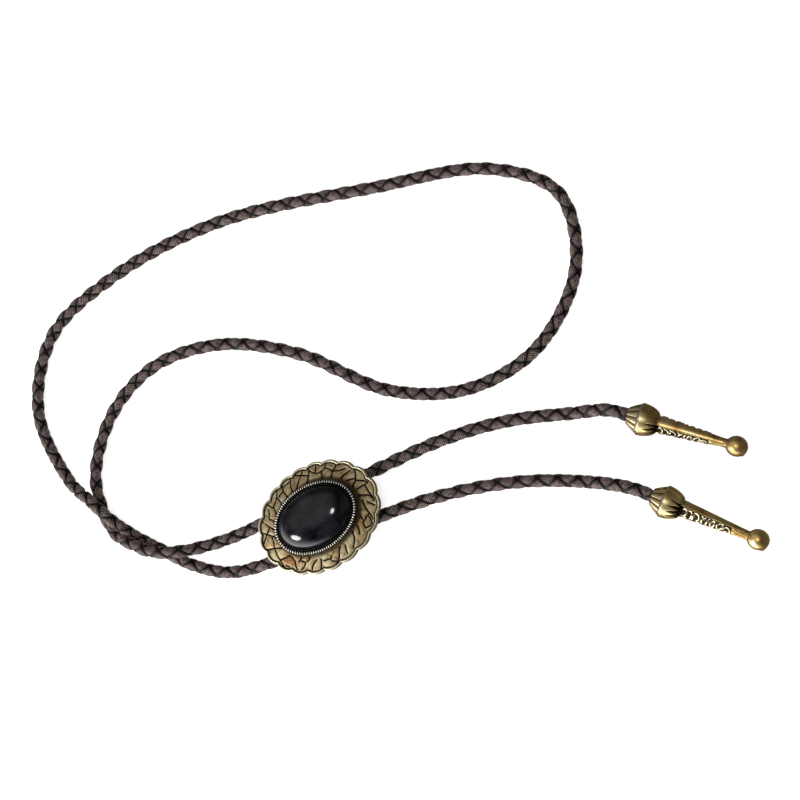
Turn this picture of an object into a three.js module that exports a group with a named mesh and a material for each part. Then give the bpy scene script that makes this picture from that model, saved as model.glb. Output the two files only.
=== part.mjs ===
// Bolo tie: an oval concho with a black stone on a braided leather cord, with two cast metal tips.
// Millimetres, +Z up. It lies on the plane z = 0, and the origin is under the middle of the concho.
import * as THREE from 'three';

// Gap between pieces that touch
const seatGap = 0.3;

// Stone
const stoneLength = 29.1;
const stoneWidth = 20.1;
const stoneEdgeHeight = 1.4;
const stoneDomeHeight = 4.8;

// Setting: a thin wall around the stone, a groove and a milled ring
const stoneClearance = 0.3;
const bezelWall = 0.35;
const bezelRise = 1.7;
const grooveWidth = 0.45;
const grooveDepth = 0.9;
const milledWidth = 1.1;
const milledDrop = 0.15;
const toothCount = 96;
const toothDepth = 0.22;
const cupFloor = 0.8;

// Concho plate
const plateLength = 49.7;
const plateWidth = 38.9;
const plateRimHeight = 1.8;
// Where each scallop's crest lies, as a share of the way around the rim, anticlockwise from its right end
const scallopCrestShares = [
  0, 0.05, 0.0975, 0.145, 0.19, 0.2375, 0.285, 0.33, 0.3775, 0.4325,
  0.485, 0.53, 0.575, 0.6225, 0.67, 0.72, 0.775, 0.8325, 0.89, 0.9425,
];
const scallopDepth = 0.9;
const rimBeadWidth = 1.05;
const rimBeadHeight = 0.5;
const plateDome = 1.1;
const leafRelief = 0.35;
const leafSlant = 0.9;
const seatMargin = 0.5;
const plateTurn = THREE.MathUtils.degToRad(30);

// Cord
const cordDiameter = 4.4;
const cordSides = 10;
const cordSteps = 80;
const cordFloorGap = 0.05;
const crossingRise = 5.2;
const leadLength = 6.6;
const leadDroop = 0.3;

// Slide clasp: one bar with a channel for each leg of the cord
const claspTurn = THREE.MathUtils.degToRad(23.1);
const channelSpacing = 15.4;
const channelClearance = 0.3;
const claspWall = 1.0;
const claspLength = 16;
const claspCorner = 1.2;

// Tips: a socket for the cord, a collar, a domed shoulder, a tapering stem and a ball
const socketClearance = 0.25;
const socketLip = 0.5;
const socketDepth = 3;
const socketCordGap = 0.4;
const mouthLength = 4.4;
const collarDiameter = 11.7;
const collarEdge = 0.5;
const shoulderLength = 6.6;
const stemRearDiameter = 6.2;
const stemLength = 24;
const stemFrontDiameter = 3.2;
const ballDiameter = 7.2;
const ballLength = 7.8;
const fluteCount = 12;
const fluteDepth = 0.35;
const upperTip = { collarX: 117.4, collarY: 34.0, turn: THREE.MathUtils.degToRad(-16.5) };
const lowerTip = { collarX: 125.6, collarY: 5.6, turn: THREE.MathUtils.degToRad(-22.4) };

// The cord's way over the surface, chosen by hand: x, y in millimetres and its share of crossingRise
const upperLeg = [
  [92, 36.4, 0],
  [69, 34.1, 0],
  [44.9, 27.7, 0],
];
const loopRoute = [
  [-35.6, -7, 0],
  [-48.4, -11, 0.25],
  [-57.5, -12.8, 0.94],
  [-67.5, -12.7, 0.94],
  [-75.9, -10.7, 0.65],
  [-84.2, -6.7, 0.18],
  [-90.1, 3, 0],
  [-93.1, 17, 0],
  [-86.2, 39.4, 0],
  [-69.4, 56.6, 0],
  [-42.7, 64.3, 0],
  [-11, 60.2, 0],
  [25.1, 45.8, 0],
  [55.1, 46, 0],
  [80.2, 60.2, 0],
  [94.1, 87.9, 0],
  [88.2, 114.5, 0],
  [63, 124.6, 0],
  [18.1, 120.1, 0],
  [-43.7, 110.1, 0],
  [-87, 91, 0],
  [-112.4, 69.2, 0],
  [-117.7, 40, 0],
  [-104, 14, 0.14],
  [-93.1, 6.2, 0.9],
  [-84.5, -0.2, 0.95],
  [-76.2, -6.4, 0.1],
  [-66.7, -11.5, 0],
  [-51.9, -17.9, 0],
  [-36, -20.2, 0],
];
const lowerLeg = [
  [43.9, 7.6, 0],
  [73, 12.5, 0],
  [98, 12.4, 0],
];

// Heights up the medallion
const cordRadius = cordDiameter / 2;
const channelRadius = cordRadius + channelClearance;
const channelHeight = claspWall + channelRadius;
const claspHeight = 2 * (claspWall + channelRadius);
const plateBack = claspHeight + seatGap;
const plateSeat = plateBack + plateRimHeight + plateDome;
const cupBase = plateSeat + seatGap;
const stoneBase = cupBase + cupFloor + seatGap;
const bezelTop = stoneBase + bezelRise;

// Offsets outwards from the stone's edge
const bezelInside = stoneClearance;
const bezelOutside = bezelInside + bezelWall;
const milledInside = bezelOutside + grooveWidth;
const milledOutside = milledInside + milledWidth;

// Finishes
const antiqueBrass = new THREE.MeshStandardMaterial({ color: 0x9c8a5e, roughness: 0.42, metalness: 0.9 });
const tipBrass = new THREE.MeshStandardMaterial({ color: 0xa98a52, roughness: 0.35, metalness: 0.9 });
const brightSilver = new THREE.MeshStandardMaterial({ color: 0xd8d4cb, roughness: 0.25, metalness: 1 });
const blackStone = new THREE.MeshStandardMaterial({ color: 0x0b0b0d, roughness: 0.08, metalness: 0 });
const darkLeather = new THREE.MeshStandardMaterial({ color: 0x3b2e2f, roughness: 0.6, metalness: 0 });

// A closed solid through rings of equally many points, the first and last of them closed to their middles
function ringSolid(rings) {
  const around = rings[0].length;
  const positions = [];
  for (const ring of rings) {
    for (const point of ring) {
      positions.push(point.x, point.y, point.z);
    }
  }
  const indices = [];
  for (let row = 0; row < rings.length - 1; row += 1) {
    for (let step = 0; step < around; step += 1) {
      const next = (step + 1) % around;
      const a = row * around + step;
      const b = row * around + next;
      const c = (row + 1) * around + next;
      const d = (row + 1) * around + step;
      indices.push(a, b, c, a, c, d);
    }
  }
  const lastRow = (rings.length - 1) * around;
  for (const [row, facing] of [[0, -1], [lastRow, 1]]) {
    const middle = positions.length / 3;
    const centre = new THREE.Vector3();
    for (const point of rings[row / around]) {
      centre.add(point);
    }
    centre.divideScalar(around);
    positions.push(centre.x, centre.y, centre.z);
    for (let step = 0; step < around; step += 1) {
      const next = (step + 1) % around;
      const edge = facing > 0 ? [row + step, row + next] : [row + next, row + step];
      indices.push(...edge, middle);
    }
  }
  const geometry = new THREE.BufferGeometry();
  geometry.setAttribute('position', new THREE.Float32BufferAttribute(positions, 3));
  geometry.setIndex(indices);
  geometry.computeVertexNormals();
  return geometry;
}

// Points at shares of an oval's length, with the outward direction at each
function ovalStations(halfLength, halfWidth, shares) {
  const oval = new THREE.EllipseCurve(0, 0, halfLength, halfWidth);
  return shares.map((share) => {
    const point = oval.getPointAt(share);
    const outward = new THREE.Vector2(point.x / halfLength ** 2, point.y / halfWidth ** 2).normalize();
    return { point, outward };
  });
}

// The ring at one height whose points stand off an oval by an offset that may change along it
function offsetRing(stations, offsetAt, heightAt) {
  return stations.map(({ point, outward }, index) => {
    const place = point.clone().addScaledVector(outward, offsetAt(index));
    return new THREE.Vector3(place.x, place.y, heightAt(index));
  });
}

// Concho plate: from the back's middle out to the scalloped rim, over its bead and in to the cup's seat
function platePiece() {
  const stepsPerScallop = 8;
  const shares = scallopCrestShares.flatMap((crest, index) => {
    const next = scallopCrestShares[index + 1] ?? 1;
    return Array.from({ length: stepsPerScallop }, (_, step) => (
      THREE.MathUtils.lerp(crest, next, step / stepsPerScallop)
    ));
  });
  const halfLength = plateLength / 2 - scallopDepth;
  const halfWidth = plateWidth / 2 - scallopDepth;
  const stations = ovalStations(halfLength, halfWidth, shares);
  const seatHalfLength = stoneLength / 2 + milledOutside + seatMargin;
  const seatHalfWidth = stoneWidth / 2 + milledOutside + seatMargin;
  const seat = ovalStations(seatHalfLength, seatHalfWidth, shares);
  const lobe = (index) => Math.abs(Math.cos(Math.PI * index / stepsPerScallop)) ** 0.8;
  const scallop = (index) => scallopDepth * lobe(index);
  const rimTop = plateBack + plateRimHeight;

  // A border ring at a share of the way from the seat to the foot of the bead
  const borderRing = (share) => stations.map(({ point, outward }, index) => {
    const foot = point.clone().addScaledVector(outward, share ** 2 * scallop(index) - rimBeadWidth);
    const place = seat[index].point.clone().lerp(foot, share);
    const leafPhase = index / stepsPerScallop - leafSlant * (1 - share);
    const leaf = leafRelief * Math.abs(Math.sin(Math.PI * leafPhase)) * Math.sin(Math.PI * share) ** 0.5;
    const fall = THREE.MathUtils.lerp(plateSeat, rimTop, share ** 1.5);
    return new THREE.Vector3(place.x, place.y, share > 0 ? fall - leafRelief + leaf : plateSeat);
  });

  const edge = (inset, height) => offsetRing(stations, (index) => scallop(index) - inset, () => height);
  const edgeDrop = 0.6;
  return new THREE.Mesh(ringSolid([
    edge(edgeDrop, plateBack),
    edge(0, plateBack + edgeDrop),
    edge(0, rimTop - edgeDrop),
    edge(rimBeadWidth * 0.3, rimTop + rimBeadHeight * 0.7),
    edge(rimBeadWidth * 0.6, rimTop + rimBeadHeight),
    borderRing(1),
    borderRing(0.8),
    borderRing(0.55),
    borderRing(0.3),
    borderRing(0),
  ]), antiqueBrass);
}

// Setting: floor, wall around the stone, groove and milled ring, in two steps to each tooth
function cupPiece() {
  const shares = Array.from({ length: toothCount * 2 }, (_, step) => step / (toothCount * 2));
  const stations = ovalStations(stoneLength / 2, stoneWidth / 2, shares);
  const tooth = (index) => (index % 2 === 0 ? 0 : toothDepth);
  const ring = (offset, height) => offsetRing(stations, () => offset, () => height);
  const milledRing = (offset, height) => offsetRing(
    stations,
    (index) => offset - tooth(index),
    (index) => height - tooth(index),
  );
  const milledTop = bezelTop - milledDrop;
  return new THREE.Mesh(ringSolid([
    ring(milledOutside - toothDepth, cupBase),
    milledRing(milledOutside, milledTop - milledWidth / 2),
    milledRing(milledOutside - milledWidth * 0.3, milledTop),
    milledRing(milledInside + milledWidth * 0.3, milledTop),
    ring(milledInside, bezelTop - grooveDepth),
    ring(bezelOutside, bezelTop - grooveDepth),
    ring(bezelOutside - bezelWall * 0.2, bezelTop),
    ring(bezelInside + bezelWall * 0.1, bezelTop),
    ring(bezelInside, cupBase + cupFloor),
  ]), brightSilver);
}

// Stone: a straight edge and a dome over it, turned as a round and drawn out to the oval
function stonePiece() {
  const domeSteps = 9;
  const profile = [new THREE.Vector2(0, 0), new THREE.Vector2(1, 0)];
  for (let step = 0; step < domeSteps; step += 1) {
    const angle = (Math.PI / 2) * (step / domeSteps);
    profile.push(new THREE.Vector2(Math.cos(angle), stoneEdgeHeight + stoneDomeHeight * Math.sin(angle)));
  }
  profile.push(new THREE.Vector2(0, stoneEdgeHeight + stoneDomeHeight));
  const geometry = new THREE.LatheGeometry(profile, 56);
  geometry.rotateX(Math.PI / 2);
  geometry.scale(stoneLength / 2, stoneWidth / 2, 1);
  const stone = new THREE.Mesh(geometry, blackStone);
  stone.position.z = stoneBase;
  return stone;
}

// Slide clasp: a flat bar with a round channel along it for each leg of the cord
function claspPiece() {
  const halfWidth = channelSpacing / 2 + channelRadius + claspWall;
  const outline = new THREE.Shape();
  outline.moveTo(-halfWidth + claspCorner, 0);
  outline.lineTo(halfWidth - claspCorner, 0);
  outline.absarc(halfWidth - claspCorner, claspCorner, claspCorner, -Math.PI / 2, 0);
  outline.lineTo(halfWidth, claspHeight - claspCorner);
  outline.absarc(halfWidth - claspCorner, claspHeight - claspCorner, claspCorner, 0, Math.PI / 2);
  outline.lineTo(-halfWidth + claspCorner, claspHeight);
  outline.absarc(-halfWidth + claspCorner, claspHeight - claspCorner, claspCorner, Math.PI / 2, Math.PI);
  outline.lineTo(-halfWidth, claspCorner);
  outline.absarc(-halfWidth + claspCorner, claspCorner, claspCorner, Math.PI, 1.5 * Math.PI);
  for (const side of [-1, 1]) {
    const channel = new THREE.Path();
    channel.absarc(side * channelSpacing / 2, channelHeight, channelRadius, 0, 2 * Math.PI);
    outline.holes.push(channel);
  }
  const geometry = new THREE.ExtrudeGeometry(outline, {
    depth: claspLength,
    curveSegments: 6,
    bevelEnabled: false,
  });
  geometry.translate(0, 0, -claspLength / 2);
  geometry.rotateX(Math.PI / 2);
  geometry.rotateZ(Math.PI / 2);
  const clasp = new THREE.Mesh(geometry, antiqueBrass);
  clasp.rotation.z = claspTurn;
  return clasp;
}

// Stations of a tip along its axis from the mouth
const collarStation = mouthLength;
const shoulderStation = collarStation + shoulderLength;
const stemStation = shoulderStation + stemLength;
const ballStation = stemStation + ballLength / 2;
const tipSlope = Math.asin((collarDiameter - ballDiameter) / 2 / (ballStation - collarStation));

// One tip, a single casting turned about +X with its mouth at x = 0
function tipGeometry() {
  const around = fluteCount * 4;
  const boreRadius = cordRadius + socketClearance;
  const collarRadius = collarDiameter / 2;
  const stemRear = stemRearDiameter / 2;
  const stemFront = stemFrontDiameter / 2;
  const ring = (station, radius, flute = 0) => {
    const points = [];
    for (let step = 0; step < around; step += 1) {
      const angle = 2 * Math.PI * step / around;
      const reach = radius - flute * fluteDepth * Math.sin(Math.PI * step / 4) ** 2;
      points.push(new THREE.Vector3(station, reach * Math.cos(angle), reach * Math.sin(angle)));
    }
    return points;
  };
  const rings = [
    ring(socketDepth, boreRadius),
    ring(0, boreRadius),
    ring(0, boreRadius + socketLip),
    ring(mouthLength * 0.55, THREE.MathUtils.lerp(boreRadius + socketLip, collarRadius, 0.62), 1),
    ring(collarStation - collarEdge, collarRadius - collarEdge, 0.6),
    ring(collarStation, collarRadius),
    ring(collarStation + collarEdge, collarRadius - collarEdge * 0.2),
  ];
  for (const [share, fullness] of [[0.35, 0.88], [0.7, 0.52], [1, 0]]) {
    rings.push(ring(collarStation + share * shoulderLength, THREE.MathUtils.lerp(stemRear, collarRadius, fullness)));
  }
  rings.push(ring(stemStation, stemFront));
  for (const turn of [145, 115, 85, 55, 27]) {
    const angle = THREE.MathUtils.degToRad(turn);
    rings.push(ring(ballStation + ballLength / 2 * Math.cos(angle), ballDiameter / 2 * Math.sin(angle)));
  }
  rings.push(ring(ballStation + ballLength / 2, ballDiameter / 20));
  return ringSolid(rings);
}

// A tip laid on its collar and its ball, with its collar where the photograph has it
function tipPiece(name, { collarX, collarY, turn }) {
  const tip = new THREE.Mesh(tipGeometry(), tipBrass);
  tip.name = name;
  tip.rotation.set(0, tipSlope, turn, 'ZYX');
  const collarHeight = collarDiameter / 2 / Math.cos(tipSlope);
  const collarFromMouth = new THREE.Vector3(collarStation, 0, 0).applyEuler(tip.rotation);
  tip.position.set(collarX, collarY, collarHeight).sub(collarFromMouth);
  return tip;
}

// The cord's points at a tip: straight out of the socket, with a slight droop
function tipLead(tip) {
  return [[socketDepth - socketCordGap, 0], [-leadLength, leadDroop]].map(([station, droop]) => {
    const point = new THREE.Vector3(station, 0, 0).applyEuler(tip.rotation).add(tip.position);
    point.z -= droop;
    return point;
  });
}

// The cord's points in a channel of the clasp, from its right end to its left end
function channelPass(side) {
  return [claspLength / 2 + cordDiameter / 2, -claspLength / 2 - cordDiameter / 2].map((along) => {
    const point = new THREE.Vector3(along, side * channelSpacing / 2, channelHeight);
    return point.applyAxisAngle(new THREE.Vector3(0, 0, 1), claspTurn);
  });
}

// A smooth route that never dips below the height of a cord lying on the surface
class LaidRoute extends THREE.CatmullRomCurve3 {
  getPoint(share, target = new THREE.Vector3()) {
    super.getPoint(share, target);
    target.z = Math.max(target.z, cordRadius + cordFloorGap);
    return target;
  }
}

// Cord: one tube from the upper tip through the clasp, around the loop and back to the lower tip
function cordPiece(firstTip, lastTip) {
  const lay = ([x, y, rise]) => new THREE.Vector3(x, y, cordRadius + cordFloorGap + rise * crossingRise);
  const points = [
    ...tipLead(firstTip),
    ...upperLeg.map(lay),
    ...channelPass(1),
    ...loopRoute.map(lay),
    ...channelPass(-1).reverse(),
    ...lowerLeg.map(lay),
    ...tipLead(lastTip).reverse(),
  ];
  const section = new THREE.Shape();
  for (let side = 0; side < cordSides; side += 1) {
    const angle = 2 * Math.PI * side / cordSides;
    const corner = [cordRadius * Math.cos(angle), cordRadius * Math.sin(angle)];
    if (side === 0) {
      section.moveTo(...corner);
    } else {
      section.lineTo(...corner);
    }
  }
  section.closePath();
  return new THREE.Mesh(new THREE.ExtrudeGeometry(section, {
    steps: cordSteps,
    extrudePath: new LaidRoute(points),
  }), darkLeather);
}

// The medallion is turned as one; the clasp keeps the cord's own direction
const bolo = new THREE.Group();
const medallion = new THREE.Group();
medallion.rotation.z = plateTurn;
for (const [name, piece] of [
  ['concho_plate', platePiece()],
  ['bezel_cup', cupPiece()],
  ['stone', stonePiece()],
]) {
  piece.name = name;
  medallion.add(piece);
}
const clasp = claspPiece();
clasp.name = 'slide_clasp';
const tipUpper = tipPiece('tip_upper', upperTip);
const tipLower = tipPiece('tip_lower', lowerTip);
const cord = cordPiece(tipUpper, tipLower);
cord.name = 'cord';
bolo.add(medallion, clasp, tipUpper, tipLower, cord);

export default bolo;
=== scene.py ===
"""Dress the bolo tie: braided leather cord, engraved concho, milled setting, stone and cast tips."""

import logging
from dataclasses import dataclass
from enum import Enum

import bpy
import numpy as np
from mathutils import Matrix, Vector


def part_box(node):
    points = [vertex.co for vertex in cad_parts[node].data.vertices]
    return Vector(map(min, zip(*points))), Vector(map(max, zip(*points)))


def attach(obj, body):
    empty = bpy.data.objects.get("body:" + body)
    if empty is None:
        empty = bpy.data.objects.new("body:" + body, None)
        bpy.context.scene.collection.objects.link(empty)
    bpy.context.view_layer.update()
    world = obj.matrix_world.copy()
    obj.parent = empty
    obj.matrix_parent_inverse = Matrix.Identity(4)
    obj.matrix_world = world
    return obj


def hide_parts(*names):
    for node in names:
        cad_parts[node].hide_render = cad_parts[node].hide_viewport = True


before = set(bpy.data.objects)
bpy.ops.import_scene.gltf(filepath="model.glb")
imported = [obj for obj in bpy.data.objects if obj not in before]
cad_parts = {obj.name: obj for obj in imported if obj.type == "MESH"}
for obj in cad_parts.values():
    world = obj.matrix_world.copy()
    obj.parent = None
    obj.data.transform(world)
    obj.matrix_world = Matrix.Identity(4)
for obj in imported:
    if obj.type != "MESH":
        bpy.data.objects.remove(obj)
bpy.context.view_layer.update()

LOG = logging.getLogger("bolo_tie")
MM = 0.001
BODY = "root"
Array = np.ndarray
Route = tuple[tuple[float, float, float], ...]
Stroke = tuple[tuple[float, float], ...]

# Sizes that several pieces of the concho follow
CONCHO_TURN = np.radians(30.0)
STONE_HALF_LENGTH = 14.55 * MM
STONE_HALF_WIDTH = 10.05 * MM
SETTING_REACH = 2.2 * MM


class Channel(Enum):
    """The clasp's two channels, each with the side of the clasp's middle that it lies on."""

    FAR = 1
    NEAR = -1


def linear_colour(code: str) -> tuple[float, float, float, float]:
    """Turn an sRGB hex colour into the linear one that shaders take.

    Args:
        code: Six hex digits, red first.

    Returns:
        Linear red, green and blue, with an alpha of one.
    """
    parts = np.array([int(code[i:i + 2], 16) for i in (0, 2, 4)]) / 255.0
    values = np.where(parts <= 0.04045, parts / 12.92, ((parts + 0.055) / 1.055) ** 2.4)
    return (*values.tolist(), 1.0)


def smoothstep(low: float, high: float, value: Array) -> Array:
    """Ease from nought at low to one at high.

    Args:
        low: Where the ramp starts.
        high: Where the ramp ends.
        value: What is eased.

    Returns:
        Three times the share squared less twice its cube, with the share held within nought and one.
    """
    share = np.clip((value - low) / (high - low), 0.0, 1.0)
    return share * share * (3.0 - 2.0 * share)


def bell(distance: Array, width: float) -> Array:
    """Fall off from one on both sides of nought.

    Args:
        distance: How far away each point lies.
        width: Where the bell has fallen to about a third.

    Returns:
        The exponential of minus the squared share of the width.
    """
    return np.exp(-(distance / width) ** 2)


def curve_distance(points: Array, curve: Array) -> Array:
    """Measure how far points in a plane lie from a chain of straight segments.

    For each segment the nearest place is the start plus the direction times the clamped share of the
    point's projection, and the least of the lengths to those places is kept.

    Args:
        points: Places, two numbers each.
        curve: The chain's corners, two numbers each.

    Returns:
        One distance for each point.
    """
    least = np.full(len(points), np.inf)
    for start, end in zip(curve[:-1], curve[1:]):
        along = end - start
        share = np.clip(((points - start) @ along) / max(along @ along, 1e-12), 0.0, 1.0)
        gap = points - start - share[:, None] * along
        least = np.minimum(least, np.hypot(gap[:, 0], gap[:, 1]))
    return least


def smooth_stroke(places: Array, between: int = 6) -> Array:
    """Draw a smooth line through places.

    Each stretch is a cubic with slopes of half the step between its neighbours: with s from nought
    to one, half of (2b + (c - a)s + (2a - 5b + 4c - d)s squared + (3b - a - 3c + d)s cubed).

    Args:
        places: Two or more places.
        between: How many points are wanted for each stretch.

    Returns:
        The points along the line.
    """
    whole = np.concatenate([[2 * places[0] - places[1]], places, [2 * places[-1] - places[-2]]])
    before, start, end, after = (whole[i:len(whole) - 3 + i, None] for i in range(4))
    share = np.linspace(0.0, 1.0, between, endpoint=False)[None, :, None]
    line = 0.5 * (
        2 * start + (end - before) * share
        + (2 * before - 5 * start + 4 * end - after) * share ** 2
        + (3 * start - before - 3 * end + after) * share ** 3
    )
    return np.concatenate([line.reshape(-1, places.shape[1]), places[-1:]])


@dataclass(frozen=True)
class Oval:
    """An ellipse stepped by shares of its length, with its outward directions."""

    half_length: float
    half_width: float

    def stations(self, shares: Array) -> tuple[Array, Array]:
        """Step along the ellipse from its long end, anticlockwise.

        The length so far is summed over a fine subdivision and turned round, so that shares of the
        length give the angles.

        Args:
            shares: Shares of the way around.

        Returns:
            The places and the outward unit directions, two numbers each.
        """
        angle = np.linspace(0.0, 2 * np.pi, 7201)
        fine = np.stack([self.half_length * np.cos(angle), self.half_width * np.sin(angle)], axis=1)
        length = np.concatenate([[0.0], np.cumsum(np.hypot(*np.diff(fine, axis=0).T))])
        even = np.interp(shares * length[-1], length, angle)
        places = np.stack([self.half_length * np.cos(even), self.half_width * np.sin(even)], axis=1)
        outward = places / np.array([self.half_length, self.half_width]) ** 2
        return places, outward / np.linalg.norm(outward, axis=1, keepdims=True)


def turned(points: Array, angle: float) -> Array:
    """Turn points about the upright axis.

    Args:
        points: Places, three numbers in the last direction of the array.
        angle: Anticlockwise angle seen from above, in radians.

    Returns:
        The turned places.
    """
    cosine, sine = np.cos(angle), np.sin(angle)
    turn = np.array([[cosine, -sine, 0.0], [sine, cosine, 0.0], [0.0, 0.0, 1.0]])
    return points @ turn.T


def lofted_piece(name: str, rings: Array, shades: dict[str, Array] | None = None) -> bpy.types.Object:
    """Skin closed rings of equally many points and close both ends to their middles.

    Args:
        name: The piece's name.
        rings: Places in metres, one row for each ring. Seen from the last ring, each runs
            anticlockwise, which turns the faces outwards.
        shades: Numbers from nought to one at each point, kept as attributes for the finish.

    Returns:
        The piece.
    """
    rows, around, _ = rings.shape
    index = np.arange(rows * around).reshape(rows, around)
    beside = np.roll(index, -1, axis=1)
    quads = np.stack([index[:-1], beside[:-1], beside[1:], index[1:]], axis=-1).reshape(-1, 4)
    first, last = rows * around, rows * around + 1
    start = np.stack([beside[0], index[0], np.full(around, first)], axis=-1)
    end = np.stack([index[-1], beside[-1], np.full(around, last)], axis=-1)
    places = np.concatenate([rings.reshape(-1, 3), rings[:1].mean(axis=1), rings[-1:].mean(axis=1)])
    mesh = bpy.data.meshes.new(name)
    mesh.from_pydata(places, [], quads.tolist() + start.tolist() + end.tolist())
    for shade_name, values in (shades or {}).items():
        layer = mesh.attributes.new(shade_name, "FLOAT", "POINT")
        whole = np.concatenate([values.reshape(-1), values[:1].mean(axis=1), values[-1:].mean(axis=1)])
        layer.data.foreach_set("value", whole.astype(np.float32))
    mesh.shade_smooth()
    piece = bpy.data.objects.new(name, mesh)
    bpy.context.collection.objects.link(piece)
    return piece


def dress(piece: bpy.types.Object, material: bpy.types.Material) -> None:
    """Give a piece one material in place of any that it has.

    Args:
        piece: The piece to dress.
        material: Its finish.
    """
    piece.data.materials.clear()
    piece.data.materials.append(material)


def add_node(
    tree: bpy.types.NodeTree,
    kind: str,
    settings: dict | None = None,
    inputs: dict | None = None,
) -> bpy.types.Node:
    """Add a node with its settings and its inputs.

    Args:
        tree: The material's node tree.
        kind: The node's type name.
        settings: Values of the node's own properties.
        inputs: Values or output sockets for its input sockets, by name or place.

    Returns:
        The node.
    """
    node = tree.nodes.new(kind)
    for key, value in (settings or {}).items():
        setattr(node, key, value)
    for key, value in (inputs or {}).items():
        if isinstance(value, bpy.types.NodeSocket):
            tree.links.new(value, node.inputs[key])
        else:
            node.inputs[key].default_value = value
    return node


def colour_ramp(
    tree: bpy.types.NodeTree,
    factor: bpy.types.NodeSocket,
    stops: list[tuple[float, str]],
) -> bpy.types.NodeSocket:
    """Colour a number by a few stops.

    Args:
        tree: The material's node tree.
        factor: The number from nought to one.
        stops: Places and hex colours, in order.

    Returns:
        The colour's socket.
    """
    ramp = add_node(tree, "ShaderNodeValToRGB", inputs={"Fac": factor})
    elements = ramp.color_ramp.elements
    while len(elements) < len(stops):
        elements.new(1.0)
    for element, (place, code) in zip(elements, stops):
        element.position = place
        element.color = linear_colour(code)
    return ramp.outputs["Color"]


def new_material(name: str) -> tuple[bpy.types.Material, bpy.types.NodeTree, bpy.types.Node]:
    """Start a material with its shader.

    Args:
        name: The real finish's name.

    Returns:
        The material, its node tree and its principled shader.
    """
    material = bpy.data.materials.new(name)
    material.use_nodes = True
    tree = material.node_tree
    return material, tree, tree.nodes["Principled BSDF"]


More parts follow.
